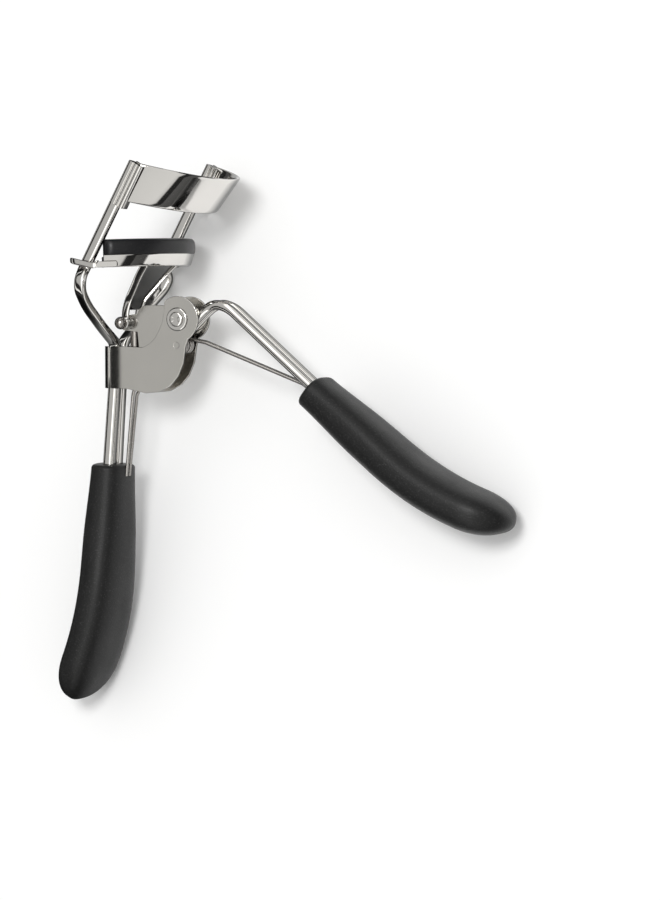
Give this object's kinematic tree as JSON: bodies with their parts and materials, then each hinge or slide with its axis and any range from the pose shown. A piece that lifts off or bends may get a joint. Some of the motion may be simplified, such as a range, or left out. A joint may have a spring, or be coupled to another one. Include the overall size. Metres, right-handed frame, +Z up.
{
  "type": "eyelash curler",
  "caption": "Eyelash curler: paddle grips squeeze a silicone-padded lower jaw up guide bars against a curved upper jaw; a wire spring opens it.",
  "frame": {"origin": "middle of the bounding box's footprint, at table level", "axes": "lying on its side at rest: +Z up, jaws towards +Y, fixed grip towards -Y, moving grip out towards +X"},
  "size_m": [0.0988, 0.1108, 0.0381],
  "materials": {
    "polished_steel": "polished nickel plate",
    "satin_steel": "satin nickel plate",
    "dark_steel": "dark polished steel",
    "spring_wire": "bright drawn wire",
    "soft_rubber": "matte soft-touch",
    "silicone": "smooth satin"
  },
  "bodies": {
    "frame": {"upper_jaw": "polished_steel", "near_guide": "polished_steel", "far_guide": "polished_steel", "bracket": "satin_steel", "pivot_rivet": "polished_steel", "near_washer": "polished_steel", "far_washer": "polished_steel", "stop_post": "dark_steel", "spring_post": "satin_steel", "fixed_grip": "soft_rubber", "near_spring": "spring_wire", "far_spring": "spring_wire"},
    "moving_handle": {"lever": "satin_steel", "near_handle_rod": "polished_steel", "far_handle_rod": "polished_steel", "moving_grip": "soft_rubber"},
    "lower_jaw": {"lower_jaw": "polished_steel", "pad": "silicone", "near_yoke_arm": "polished_steel", "far_yoke_arm": "polished_steel", "yoke_web": "satin_steel", "link_pin": "dark_steel", "link_roller": "dark_steel"}
  },
  "joints": [
    {"name": "handle_pivot", "type": "hinge", "parent": "frame", "child": "moving_handle", "pos_m": [-0.02164, 0.02189, 0.01648], "axis": [0.0553, -0.1411, 0.9885], "range_deg": [-42, 0], "stiffness_Nm_per_rad": 0.2, "springref_deg": 28.65, "deforming": ["near_spring", "far_spring"]},
    {"name": "jaw_link", "type": "hinge", "parent": "moving_handle", "child": "lower_jaw", "pos_m": [-0.03359, 0.02106, 0.01703], "axis": [0.0553, -0.1411, 0.9885], "range_deg": [-0.5, 25.7]}
  ],
  "couplings": [
    {"joint": "jaw_link", "follows": "handle_pivot", "ratio": -0.6}
  ]
}
